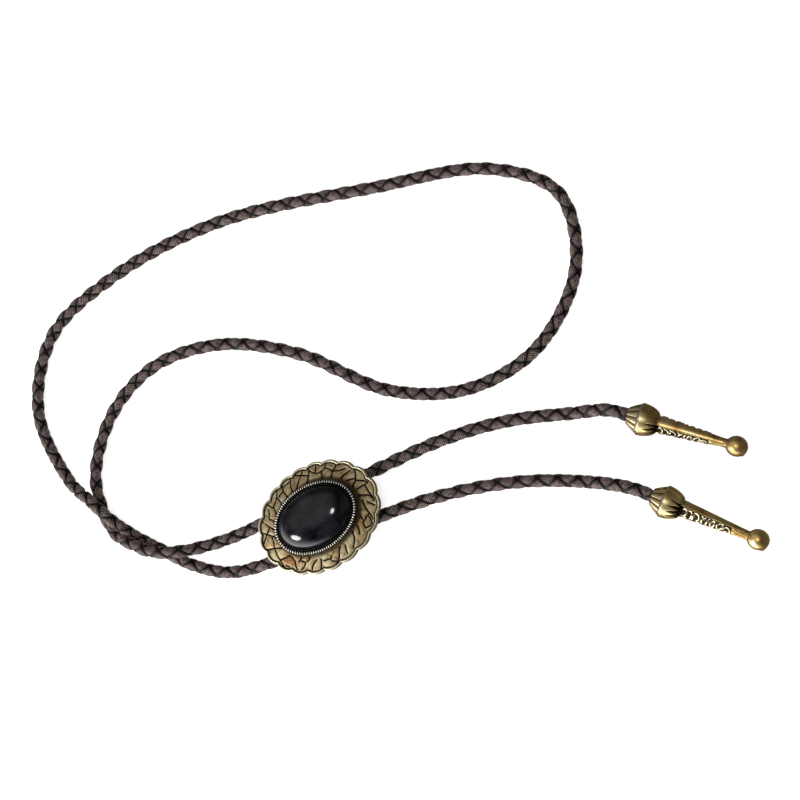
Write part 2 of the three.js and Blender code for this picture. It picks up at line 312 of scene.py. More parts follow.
@dataclass(frozen=True)
class AntiquedBrass:
    """Brass darkened in an antiquing bath and buffed bright again on what stands proud."""

    name: str
    field_colour: str
    ground_and_shade_colour: str
    rubbed_and_highlight_colour: str
    stain_colour: str
    pale_colour: str
    roughness: float
    grain: float = 0.0
    tarnish_colour: str = "9A7048"
    stain_size_mm: float = 7.0
    rubbing_size_mm: float = 0.5
    grain_size_mm: float = 1.1

    def build(self) -> bpy.types.Material:
        """Mix the field's brass with stains, then lay in the dark ground and the rubbed edges.

        The patina attribute is one at the foot of a cut and where shade is painted beside the setting and in
        the tips' creases; the rubbed attribute is one on an edge that the polishing cloth reaches and on
        the highlights painted along the plate's cuts; and the attribute tarnish is one in a copper-coloured
        stain.

        Returns:
            The material.
        """
        material, tree, shader = new_material(self.name)
        place = add_node(tree, "ShaderNodeTexCoord").outputs["Object"]
        stain = add_node(tree, "ShaderNodeTexNoise", inputs={
            "Vector": place, "Scale": 1.0 / (self.stain_size_mm * MM), "Detail": 3.0, "Roughness": 0.55,
        }).outputs["Fac"]
        scratches = add_node(tree, "ShaderNodeTexNoise", inputs={
            "Vector": place, "Scale": 1.0 / (self.rubbing_size_mm * MM), "Detail": 4.0, "Roughness": 0.65,
        }).outputs["Fac"]
        mottled = colour_ramp(tree, stain, [
            (0.34, self.stain_colour), (0.48, self.field_colour), (0.64, self.pale_colour),
        ])
        tarnish = add_node(tree, "ShaderNodeAttribute", {"attribute_name": "tarnish"}).outputs["Fac"]
        base = add_node(tree, "ShaderNodeMix", {"data_type": "RGBA"}, {
            "Factor": tarnish, "A": mottled, "B": linear_colour(self.tarnish_colour),
        }).outputs["Result"]
        if self.grain:
            base = self.pit(tree, place, base)
        patina_and_shade = add_node(tree, "ShaderNodeAttribute", {"attribute_name": "patina_and_shade"}).outputs["Fac"]
        rubbed_and_highlight = add_node(tree, "ShaderNodeAttribute", {"attribute_name": "rubbed_and_highlight"}).outputs["Fac"]
        bright = add_node(tree, "ShaderNodeMix", {"data_type": "RGBA"}, {
            "Factor": rubbed_and_highlight, "A": base, "B": linear_colour(self.rubbed_and_highlight_colour),
        }).outputs["Result"]
        dark = add_node(tree, "ShaderNodeMix", {"data_type": "RGBA"}, {
            "Factor": patina_and_shade, "A": bright, "B": linear_colour(self.ground_and_shade_colour),
        }).outputs["Result"]
        tree.links.new(dark, shader.inputs["Base Color"])
        shader.inputs["Metallic"].default_value = 0.92
        rough = add_node(tree, "ShaderNodeMapRange", inputs={
            "Value": scratches, "From Min": 0.3, "From Max": 0.7,
            "To Min": self.roughness - 0.04, "To Max": self.roughness + 0.06,
        }).outputs["Result"]
        duller = add_node(tree, "ShaderNodeMath", {"operation": "MULTIPLY_ADD"}, {
            0: patina_and_shade, 1: 0.3, 2: rough,
        }).outputs["Value"]
        polished = add_node(tree, "ShaderNodeMath", {"operation": "MULTIPLY_ADD"}, {
            0: rubbed_and_highlight, 1: -0.15, 2: duller,
        }).outputs["Value"]
        tree.links.new(polished, shader.inputs["Roughness"])
        bump = add_node(tree, "ShaderNodeBump", inputs={
            "Height": scratches, "Strength": 0.06, "Distance": 0.04 * MM,
        }).outputs["Normal"]
        tree.links.new(bump, shader.inputs["Normal"])
        return material

    def pit(
        self,
        tree: bpy.types.NodeTree,
        place: bpy.types.NodeSocket,
        base: bpy.types.NodeSocket,
    ) -> bpy.types.NodeSocket:
        """Leave a share of the dark ground in the pits of sheet that was etched.

        Args:
            tree: The material's node tree.
            place: Where each point lies on the piece.
            base: The colour before it is pitted.

        Returns:
            The pitted colour.
        """
        etching = add_node(tree, "ShaderNodeTexNoise", inputs={
            "Vector": place, "Scale": 1.0 / (self.grain_size_mm * MM), "Detail": 2.0, "Roughness": 0.6,
        }).outputs["Fac"]
        pits = add_node(tree, "ShaderNodeMapRange", inputs={
            "Value": etching, "From Min": 0.48, "From Max": 0.68, "To Max": self.grain,
        }).outputs["Result"]
        return add_node(tree, "ShaderNodeMix", {"data_type": "RGBA"}, {
            "Factor": pits, "A": base, "B": linear_colour(self.ground_and_shade_colour),
        }).outputs["Result"]


# The tips: cast, tumbled smooth, dipped in the bath and buffed until they glow golden
CAST_BRASS = AntiquedBrass(
    name="antiqued_cast_brass", field_colour="E6C078", ground_and_shade_colour="1A1207", rubbed_and_highlight_colour="F8EECC",
    stain_colour="B0844A", pale_colour="F0DAA0", roughness=0.34,
)
# The plate: stamped and etched sheet, dull and greenish, with the bath's dark left in its pits
SHEET_BRASS = AntiquedBrass(
    name="antiqued_sheet_brass", field_colour="C6AF84", ground_and_shade_colour="1E1608", rubbed_and_highlight_colour="F2E8C6",
    stain_colour="AC8C60", pale_colour="D0C69E", roughness=0.55, grain=0.6,
)
# The clasp: rolled bar left satin, which spreads its reflections wide
SATIN_BRASS = AntiquedBrass(
    name="satin_brass", field_colour="B09A66", ground_and_shade_colour="2B200F", rubbed_and_highlight_colour="D8C690",
    stain_colour="8E7646", pale_colour="BFAE7C", roughness=0.4,
)


@dataclass(frozen=True)
class BrightSilverPlate:
    """Silver plating polished on the tooth tops, with black left between the teeth.

    The teeth are too fine to mirror anything, so they only glint softly.
    """

    name: str = "polished_silver_plate"

    def build(self) -> bpy.types.Material:
        """Darken and dull the plating by the attribute patina, which is one between the teeth.

        Returns:
            The material.
        """
        material, tree, shader = new_material(self.name)
        patina_and_shade = add_node(tree, "ShaderNodeAttribute", {"attribute_name": "patina_and_shade"}).outputs["Fac"]
        tone = colour_ramp(tree, patina_and_shade, [(0.0, "F4F1E8"), (0.45, "8F8A7E"), (0.8, "15130F")])
        tree.links.new(tone, shader.inputs["Base Color"])
        shader.inputs["Metallic"].default_value = 1.0
        rough = add_node(tree, "ShaderNodeMapRange", inputs={
            "Value": patina_and_shade, "To Min": 0.4, "To Max": 0.6,
        }).outputs["Result"]
        tree.links.new(rough, shader.inputs["Roughness"])
        return material


@dataclass(frozen=True)
class PolishedBlackStone:
    """Black chalcedony, ground to a dome and polished until it reflects like glass."""

    name: str = "polished_black_chalcedony"
    cloud_size_mm: float = 7.0

    def build(self) -> bpy.types.Material:
        """Give the near-black body a faint cloud and a glassy surface.

        Returns:
            The material.
        """
        material, tree, shader = new_material(self.name)
        place = add_node(tree, "ShaderNodeTexCoord").outputs["Object"]
        cloud = add_node(tree, "ShaderNodeTexNoise", inputs={
            "Vector": place, "Scale": 1.0 / (self.cloud_size_mm * MM), "Detail": 5.0, "Roughness": 0.6,
        }).outputs["Fac"]
        tone = colour_ramp(tree, cloud, [(0.42, "030304"), (0.64, "262932")])
        tree.links.new(tone, shader.inputs["Base Color"])
        shader.inputs["Roughness"].default_value = 0.09
        shader.inputs["IOR"].default_value = 1.54
        shader.inputs["Specular IOR Level"].default_value = 0.45
        polish = add_node(tree, "ShaderNodeBump", inputs={
            "Height": cloud, "Strength": 0.05, "Distance": 0.03 * MM,
        }).outputs["Normal"]
        tree.links.new(polish, shader.inputs["Normal"])
        return material


@dataclass(frozen=True)
class BraidedLeather:
    """Dark brown leather lace, ribbed across by the drawing plate, with shade painted near black into the
    gaps between the laces.
    """

    name: str = "waxed_braided_leather"
    rib_pitch_mm: float = 0.62
    fleck_size_mm: float = 1.1

    def build(self) -> bpy.types.Material:
        """Rib each lace across its own length and paint near-black shade into the gaps between the laces.

        The map named lace holds millimetres along and across a lace, and the attribute proud is
        nought in a gap and one on a lace's crown.

        Returns:
            The material.
        """
        material, tree, shader = new_material(self.name)
        lace = add_node(tree, "ShaderNodeUVMap", {"uv_map": "lace"}).outputs["UV"]
        place = add_node(tree, "ShaderNodeTexCoord").outputs["Object"]
        proud = add_node(tree, "ShaderNodeAttribute", {"attribute_name": "proud"}).outputs["Fac"]
        wobble = add_node(tree, "ShaderNodeTexNoise", inputs={
            "Vector": place, "Scale": 1.0 / (self.fleck_size_mm * MM), "Detail": 3.0,
        }).outputs["Fac"]
        shift = add_node(tree, "ShaderNodeMath", {"operation": "MULTIPLY"}, {0: wobble, 1: 0.35})
        offset = add_node(tree, "ShaderNodeCombineXYZ", inputs={"X": shift.outputs["Value"]})
        moved = add_node(tree, "ShaderNodeVectorMath", {"operation": "ADD"}, {
            0: lace, 1: offset.outputs["Vector"],
        }).outputs["Vector"]
        # A wave's period is its scale times twenty over two pi
        ribs = add_node(tree, "ShaderNodeTexWave", {"bands_direction": "X"}, {
            "Vector": moved, "Scale": 2 * np.pi / 20.0 / self.rib_pitch_mm, "Distortion": 0.6,
            "Detail": 1.0,
        }).outputs["Fac"]
        grain = add_node(tree, "ShaderNodeMath", {"operation": "MULTIPLY_ADD"}, {
            0: ribs, 1: 0.45, 2: wobble,
        }).outputs["Value"]
        tone = colour_ramp(tree, grain, [(0.3, "170D0D"), (0.62, "3F2E2C"), (0.95, "A08C86")])
        # Painted shade: the gaps between the laces are coloured near black, fading into the leather's tone up
        # each lace's crown
        clear_of_gap_shade = add_node(tree, "ShaderNodeMapRange", inputs={
            "Value": proud, "From Min": 0.45, "From Max": 0.9,
        }).outputs["Result"]
        body = add_node(tree, "ShaderNodeMix", {"data_type": "RGBA"}, {
            "Factor": clear_of_gap_shade, "A": linear_colour("090506"), "B": tone,
        }).outputs["Result"]
        tree.links.new(body, shader.inputs["Base Color"])
        shader.inputs["Specular IOR Level"].default_value = 0.35
        rough = add_node(tree, "ShaderNodeMapRange", inputs={
            "Value": wobble, "From Min": 0.3, "From Max": 0.7, "To Min": 0.42, "To Max": 0.6,
        }).outputs["Result"]
        tree.links.new(rough, shader.inputs["Roughness"])
        bump = add_node(tree, "ShaderNodeBump", inputs={
            "Height": grain, "Strength": 0.8, "Distance": 0.12 * MM,
        }).outputs["Normal"]
        tree.links.new(bump, shader.inputs["Normal"])
        return material


@dataclass(frozen=True)
class PaleSweep:
    """White photographer's paper on a lit table, so that next to no shadow falls on it."""

    name: str = "white_paper_on_lit_table"
    tooth_size_mm: float = 1.11
    glow: float = 0.8

    def build(self) -> bpy.types.Material:
        """Give matt white paper a faint tooth, and the light that comes through it.

        Returns:
            The material.
        """
        material, tree, shader = new_material(self.name)
        place = add_node(tree, "ShaderNodeTexCoord").outputs["Object"]
        tooth = add_node(tree, "ShaderNodeTexNoise", inputs={
            "Vector": place, "Scale": 1.0 / (self.tooth_size_mm * MM),
        })
        tone = colour_ramp(tree, tooth.outputs["Fac"], [(0.0, "F7F7F6"), (1.0, "FBFBFA")])
        tree.links.new(tone, shader.inputs["Base Color"])
        shader.inputs["Roughness"].default_value = 0.95
        shader.inputs["Specular IOR Level"].default_value = 0.1
        shader.inputs["Emission Color"].default_value = (1.0, 1.0, 1.0, 1.0)
        shader.inputs["Emission Strength"].default_value = self.glow
        return material


@dataclass(frozen=True)
class Studio:
    """The camera, the lights and the paper that the tie lies on."""

    camera_place: tuple[float, float, float] = (0.26253, 0.00014, 0.695)
    view_direction: tuple[float, float, float] = (-0.31914, 0.05762, -0.94595)
    focal_share: float = 2027.0 / 800.0
    sensor_mm: float = 36.0
    paper_half_size: float = 1.2
    bright_side: tuple[float, float, float] = (-0.56, -0.75, -0.35)
    bright_side_glow: float = 4.2
    roof_side: tuple[float, float, float] = (-0.42, 0.25, 0.87)
    roof_glow: float = 0.52
    dark_side_glow: float = 0.07
    backdrop_glow: float = 1.2

    def place_camera(self) -> None:
        """Aim the camera with the far side of the loop upwards.

        The right-hand direction is the view crossed with +Y, and up is right crossed with the view.
        """
        data = bpy.data.cameras.new("camera")
        data.sensor_width = self.sensor_mm
        data.lens = self.focal_share * self.sensor_mm
        data.clip_start = 0.01
        camera = bpy.data.objects.new("camera", data)
        bpy.context.collection.objects.link(camera)
        forward = Vector(self.view_direction).normalized()
        right = forward.cross(Vector((0.0, 1.0, 0.0))).normalized()
        up = right.cross(forward)
        turn = Matrix((right, up, -forward)).transposed().to_4x4()
        camera.matrix_world = Matrix.Translation(self.camera_place) @ turn
        bpy.context.scene.camera = camera
        bpy.context.scene.view_settings.view_transform = "Standard"

    def hang_lamp(
        self,
        name: str,
        direction: tuple[float, float, float],
        long_way: tuple[float, float, float],
        distance: float,
        size: tuple[float, float],
        watts: float,
    ) -> None:
        """Hang an oval lamp that faces the concho.

        Args:
            name: The light's name.
            direction: Where it hangs, seen from the concho.
            long_way: The direction that its length points along.
            distance: How far away it hangs, in metres.
            size: Its length and width, in metres.
            watts: Its power.
        """
        data = bpy.data.lights.new(name, "AREA")
        data.shape = "ELLIPSE"
        data.size, data.size_y = size
        data.energy = watts
        light = bpy.data.objects.new(name, data)
        bpy.context.collection.objects.link(light)
        back = Vector(direction).normalized()
        across = back.cross(Vector(long_way)).normalized()
        turn = Matrix((across.cross(back), across, back)).transposed().to_4x4()
        light.matrix_world = Matrix.Translation(back * distance) @ turn

    def light(self) -> None:
        """Hang the two lamps that the stone mirrors, inside a tent that is bright low on one side."""
        self.hang_lamp(
            "near_lamp", direction=(-0.567, -0.537, 0.625), long_way=(0.77, -0.62, 0.18),
            distance=1.0, size=(0.32, 0.22), watts=3.7)
        self.hang_lamp(
            "overhead_lamp", direction=(0.172, 0.022, 0.985), long_way=(0.2, -0.98, 0.0),
            distance=1.2, size=(0.23, 0.13), watts=1.5)
        world = bpy.data.worlds.new("white_tent")
        world.use_nodes = True
        tree = world.node_tree
        way = add_node(tree, "ShaderNodeTexCoord").outputs["Generated"]
        facing = add_node(tree, "ShaderNodeVectorMath", {"operation": "DOT_PRODUCT"}, {
            0: way, 1: self.bright_side,
        }).outputs["Value"]
        height = add_node(tree, "ShaderNodeSeparateXYZ", inputs={"Vector": way}).outputs["Z"]
        toward_roof = add_node(tree, "ShaderNodeVectorMath", {"operation": "DOT_PRODUCT"}, {
            0: way, 1: self.roof_side,
        }).outputs["Value"]
        dim = add_node(tree, "ShaderNodeMapRange", {"interpolation_type": "SMOOTHSTEP"}, {
            "Value": toward_roof, "From Min": 0.68, "From Max": 0.98,
            "To Min": self.dark_side_glow, "To Max": self.roof_glow,
        }).outputs["Result"]
        # Dark card under the table's edge ends the bright side at the horizon
        above_card = add_node(tree, "ShaderNodeMapRange", inputs={
            "Value": height, "From Min": -0.35, "From Max": -0.05,
        }).outputs["Result"]
        lit = add_node(tree, "ShaderNodeMath", {"operation": "MULTIPLY"}, {
            0: facing, 1: above_card,
        }).outputs["Value"]
        glow = add_node(tree, "ShaderNodeMapRange", {"interpolation_type": "SMOOTHSTEP"}, {
            "Value": lit, "From Min": 0.42, "From Max": 0.95,
            "To Min": dim, "To Max": self.bright_side_glow,
        }).outputs["Result"]
        # What the camera sees past the paper's edge is plain white, as the tent's cloth is
        seen = add_node(tree, "ShaderNodeLightPath").outputs["Is Camera Ray"]
        strength = add_node(tree, "ShaderNodeMix", {"data_type": "FLOAT"}, {
            "Factor": seen, "A": glow, "B": self.backdrop_glow,
        }).outputs["Result"]
        tree.links.new(strength, tree.nodes["Background"].inputs["Strength"])
        tree.nodes["Background"].inputs["Color"].default_value = (1.0, 1.0, 1.0, 1.0)
        bpy.context.scene.world = world

    def lay_paper(self) -> None:
        """Lay the paper at the height that the tie rests on."""
        half = self.paper_half_size
        corners = [(-half, -half, 0.0), (half, -half, 0.0), (half, half, 0.0), (-half, half, 0.0)]
        mesh = bpy.data.meshes.new("paper")
        mesh.from_pydata(corners, [], [(0, 1, 2, 3)])
        paper = bpy.data.objects.new("paper", mesh)
        bpy.context.collection.objects.link(paper)
        dress(paper, PaleSweep().build())
        # Dark card around the tie keeps the paper out of its reflections, as in the photo
        paper.visible_glossy = False


# The scrolls of one panel of a tip, charted as the share along the panel from the shoulder,
# and the share across it from its middle to its edge
SCROLL_CHART = (
    ((0.04, -0.75), (0.00, -0.30), (0.01, 0.30), (0.07, 0.45)),
    ((0.01, 0.85), (0.08, 0.95), (0.15, 0.60)),
    ((0.06, -0.95), (0.12, -0.80), (0.14, -0.20), (0.11, 0.30), (0.12, 0.85)),
    ((0.17, -0.95), (0.23, -0.75), (0.24, -0.10), (0.22, 0.80)),
    ((0.28, -0.95), (0.36, -0.75), (0.39, -0.10), (0.35, 0.50)),
    ((0.29, -0.50), (0.27, 0.15), (0.27, 0.80)),
    ((0.37, 0.95), (0.41, 0.75)),
    ((0.46, 0.95), (0.44, 0.10), (0.46, -0.60), (0.43, -0.95)),
    ((0.48, -0.50), (0.51, -0.90)),
    ((0.53, 0.60), (0.55, -0.30), (0.58, -0.95)),
    ((0.64, 0.95), (0.61, 0.00), (0.65, -0.80), (0.69, -0.60), (0.68, 0.30), (0.66, 0.90)),
    ((0.76, 0.80), (0.74, -0.20), (0.79, -0.85), (0.84, -0.90), (0.84, -0.10), (0.79, 0.70)),
    ((0.86, 0.10), (0.90, -0.50), (0.96, -0.50), (1.00, 0.20), (0.98, 0.90)),
    ((0.89, 0.75), (0.94, 0.55)),
)


@dataclass
class CastTip:
    """One cast tip: fluted mouth, collar, domed shoulder, stem with scroll relief, and a ball."""

    name: str
    node: str
    collar_place: tuple[float, float]
    heading: float
    panel_turn: float
    mouth_length: float = 4.4 * MM
    mouth_radius: float = 2.95 * MM
    bore_radius: float = 2.45 * MM
    socket_depth: float = 3.0 * MM
    collar_radius: float = 5.85 * MM
    collar_edge: float = 0.5 * MM
    shoulder_length: float = 6.6 * MM
    stem_length: float = 24.0 * MM
    stem_rear_radius: float = 3.1 * MM
    stem_front_radius: float = 1.6 * MM
    ball_radius: float = 3.6 * MM
    ball_half_length: float = 3.9 * MM
    around: int = 192
    mouth_rows: int = 18
    edge_rows: int = 9
    shoulder_rows: int = 36
    stem_rows: int = 150
    ball_rows: int = 34
    edge_round: float = 0.3 * MM
    edge_step: float = 0.1 * MM
    flutes: int = 12
    flute_depth: float = 0.45 * MM
    panel_half_angle: float = np.radians(46.0)
    panel_length_share: float = 0.76
    panel_rim_share: float = 0.86
    panel_sink: float = 0.12 * MM
    scroll_height: float = 0.36 * MM
    scroll_half_width: float = 0.33 * MM
    spikes: int = 4
    spike_depth: float = 0.55 * MM
    spike_run_share: float = 0.72
    front_flutes: int = 5
    front_flute_depth: float = 0.22 * MM
    nub_height: float = 0.6 * MM
    nub_half_length: float = 0.8 * MM
    nub_half_width: float = 0.9 * MM
    nub_reach: float = 2.9 * MM

    @property
    def slope(self) -> float:
        """The axis dips from the collar to the ball by the difference of their radii."""
        reach = self.shoulder_length + self.stem_length + self.ball_half_length
        return float(np.arcsin((self.collar_radius - self.ball_radius) / reach))

    @property
    def turn(self) -> Array:
        """The turn that lays the tip's own axis, +X, along its heading and down its slope."""
        heading = Matrix.Rotation(self.heading, 3, "Z")
        return np.array(heading @ Matrix.Rotation(self.slope, 3, "Y"))

    @property
    def mouth_place(self) -> Array:
        """The middle of the mouth: the collar's middle less the mouth's length along the axis.

        Returns:
            The place, in metres.
        """
        height = self.collar_radius / np.cos(self.slope)
        collar = np.array([*self.collar_place, height])
        return collar - self.turn @ np.array([self.mouth_length, 0.0, 0.0])

    def at_station(self, station: float) -> Array:
        """Give the place on the axis at a distance from the mouth.

        Args:
            station: Metres from the mouth towards the ball.

        Returns:
            The place.
        """
        return self.mouth_place + self.turn @ np.array([station, 0.0, 0.0])

    def outer_profile(self) -> tuple[Array, Array]:
        """Work out the turned shape from the mouth to the ball's end.

        The mouth swells by a power of its share, the shoulder falls by a cosine to the power 0.55,
        the stem tapers evenly and the ball is half an ellipse.

        Returns:
            Stations and radii, in metres.
        """
        mouth = np.linspace(0.0, 1.0, self.mouth_rows)[:-1]
        collar = self.mouth_length
        stem_start = collar + self.shoulder_length
        stem_end = stem_start + self.stem_length
        mouth_swell = self.collar_radius - self.edge_round - self.mouth_radius
        mouth_radii = self.mouth_radius + mouth_swell * mouth ** 0.85
        edge = np.radians(np.linspace(-70.0, 80.0, self.edge_rows))
        edge_stations = collar + 0.25 * self.collar_edge * (1 + np.sin(edge))
        edge_radii = self.collar_radius - self.edge_round * (1 - np.cos(edge))
        share = np.linspace(0.07, 1.0, self.shoulder_rows)
        shoulder = collar + share * self.shoulder_length
        shoulder_fall = self.collar_radius - self.edge_step - self.stem_rear_radius
        dome = self.stem_rear_radius + shoulder_fall * np.cos(share * np.pi / 2) ** 0.55
        stem = np.linspace(0.0, 1.0, self.stem_rows)[1:]
        taper = self.stem_rear_radius + (self.stem_front_radius - self.stem_rear_radius) * stem
        joint = np.arccos(-np.sqrt(1 - (self.stem_front_radius / self.ball_radius) ** 2))
        ball = np.linspace(joint, np.radians(2.0), self.ball_rows)[1:]
        ball_middle = stem_end + self.ball_half_length
        stations = np.concatenate([
            mouth * (collar - self.edge_step), edge_stations, shoulder,
            stem_start + stem * self.stem_length,
            ball_middle + self.ball_half_length * np.cos(ball),
        ])
        radii = np.concatenate([mouth_radii, edge_radii, dome, taper, self.ball_radius * np.sin(ball)])
        return stations, radii

    def panel_angle(self, around: Array) -> Array:
        """Say how far each direction around the stem lies from the middle of its nearer panel.

        Args:
            around: Angles around the axis.

        Returns:
            Signed angles, nought in the middle of either panel.
        """
        return (around - self.panel_turn + np.pi / 2) % np.pi - np.pi / 2

    def scroll_curves(self) -> list[Array]:
        """Draw the scrolls of one panel, as distance from the stem's start and across the panel.

        Returns:
            The curves, two numbers for each point, in metres.
        """
        reach = self.panel_length_share * self.stem_length
        half_width = self.panel_rim_share * self.panel_half_angle
        curves = []
        for chart in SCROLL_CHART:
            stroke = smooth_stroke(np.array(chart))
            radius = self.stem_rear_radius + (
                self.stem_front_radius - self.stem_rear_radius) * stroke[:, 0] * self.panel_length_share
            curves.append(np.stack([reach * stroke[:, 0], half_width * radius * stroke[:, 1]], axis=1))
        return curves

    def carve(self, station: Array, around: Array, turned_radius: Array) -> tuple[Array, dict[str, Array]]:
        """Cut the flutes, spikes and sunk panels into the turned shape, and raise the scrolls on it.

        The radius is the turned one less the flutes between mouth and collar, less the pointed cuts
        before the stem, less the sunk ground of the panels and the fine flutes on the stem's front,
        plus the scrolls on the ground and a small nub on the ball.

        Args:
            station: Distances from the mouth.
            around: Angles around the axis.
            turned_radius: The turned shape's radii.

        Returns:
            The carved radii, and the shades patina and rubbed.
        """
        collar = self.mouth_length
        stem_start = collar + self.shoulder_length
        panel = self.panel_angle(around)
        panel_share = np.abs(panel) / self.panel_half_angle
        on_panel = 1.0 - smoothstep(self.panel_rim_share, 1.0, panel_share)

        groove = 1.0 - np.abs(np.sin(self.flutes * around / 2)) ** 0.9
        fluted = 1 - smoothstep(collar - 0.6 * MM, collar, station)
        flute = groove * fluted

        spike_reach = (stem_start + 0.3 * MM - station) / (self.spike_run_share * self.shoulder_length)
        spike_width = np.clip(1.0 - spike_reach, 0.0, 1.0) * (spike_reach > -0.12)
        spike_phase = np.abs((panel * self.spikes / 2 / self.panel_half_angle + 0.5) % 1.0 - 0.5) * 2
        spike = smoothstep(0.0, 0.25, spike_width * 1.25 - spike_phase) * (
            1.0 - smoothstep(1.0, 1.1, panel_share))

        along = station - stem_start
        flat = np.stack([along.ravel(), (panel * turned_radius).ravel()], axis=1)
        near = np.full(len(flat), np.inf)
        for curve in self.scroll_curves():
            near = np.minimum(near, curve_distance(flat, curve))
        near = near.reshape(station.shape)
        along_share = along / self.stem_length
        in_panel = smoothstep(-0.2 * MM, 0.3 * MM, along) * on_panel * (
            1.0 - smoothstep(0.0, 0.03, along_share - self.panel_length_share))
        scroll = np.exp(-(near / self.scroll_half_width) ** 4) * in_panel

        front = smoothstep(0.8, 0.83, along_share) * (1.0 - smoothstep(0.95, 1.0, along_share))
        front_flute = front * on_panel * (1 - np.abs(np.sin(panel * self.front_flutes)) ** 0.6)

        radius = turned_radius - (
            self.flute_depth * flute + self.spike_depth * spike + self.panel_sink * in_panel)
        radius = radius - self.front_flute_depth * front_flute + self.scroll_height * scroll
        ball_middle = stem_start + self.stem_length + self.ball_half_length
        nub_angle = np.angle(np.exp(1j * (around - self.panel_turn - np.pi / 3)))
        nub = bell(station - ball_middle - self.nub_reach, self.nub_half_length) * bell(
            nub_angle * radius, self.nub_half_width)
        radius = radius + self.nub_height * nub * (station > ball_middle)

        # Dark in the flutes, spikes and sunk panels; in the creases at both ends of the stem, painted shade
        # along with the bath's dark
        patina_and_shade = (
            0.9 * smoothstep(0.25, 0.8, flute) + spike + 0.95 * in_panel * (1 - scroll)
            + 0.8 * smoothstep(0.3, 0.8, front_flute)
            + 0.35 * smoothstep(0.0, 0.4, self.joint_shade(station))
        )
        collar_gap = np.abs(station - collar - self.edge_step)
        rubbed_and_highlight = scroll + smoothstep(0.45 * MM, 0.1 * MM, collar_gap) + 0.5 * fluted * (1 - groove)
        return radius, {"patina_and_shade": np.clip(patina_and_shade, 0.0, 1.0), "rubbed_and_highlight": np.clip(rubbed_and_highlight, 0.0, 1.0)}

    def build(self, material: bpy.types.Material) -> bpy.types.Object:
        """Skin the tip from inside its socket out over the carved shape, and lay it in its place.

        Args:
            material: Its finish.

        Returns:
            The piece.
        """
        stations, radii = self.outer_profile()
        angle = np.linspace(0.0, 2 * np.pi, self.around, endpoint=False)
        station, around = np.meshgrid(stations, angle, indexing="ij")
        radius, shades = self.carve(station, around, np.repeat(radii[:, None], self.around, axis=1))
        bore_stations = np.array([self.socket_depth, 0.0])
        all_stations = np.concatenate([np.repeat(bore_stations[:, None], self.around, axis=1), station])
        all_radii = np.concatenate([np.full((2, self.around), self.bore_radius), radius])
        all_around = np.concatenate([np.repeat(angle[None], 2, axis=0), around])
        shape = np.stack([
            all_stations, -all_radii * np.sin(all_around), all_radii * np.cos(all_around),
        ], axis=-1)
        places = shape[:, ::-1] @ self.turn.T + self.mouth_place
        bore_shades = {"patina_and_shade": np.ones((2, self.around)), "rubbed_and_highlight": np.zeros((2, self.around))}
        all_shades = {
            name: np.concatenate([bore_shades[name], shade])[:, ::-1] for name, shade in shades.items()
        }
        piece = lofted_piece(self.name, places, all_shades)
        dress(piece, material)
        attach(piece, BODY)
        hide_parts(self.node)
        return piece

    def joint_shade(self, station: Array) -> Array:
        """Say how near each station is to the joints at the stem's ends, whose creases get painted shade
        along with the bath's dark.

        Args:
            station: Distances from the mouth.

        Returns:
            One at a joint, falling off within a millimetre.
        """
        stem_start = self.mouth_length + self.shoulder_length
        stem_end = stem_start + self.stem_length
        return bell(station - stem_start, 0.7 * MM) + bell(station - stem_end, 0.6 * MM)


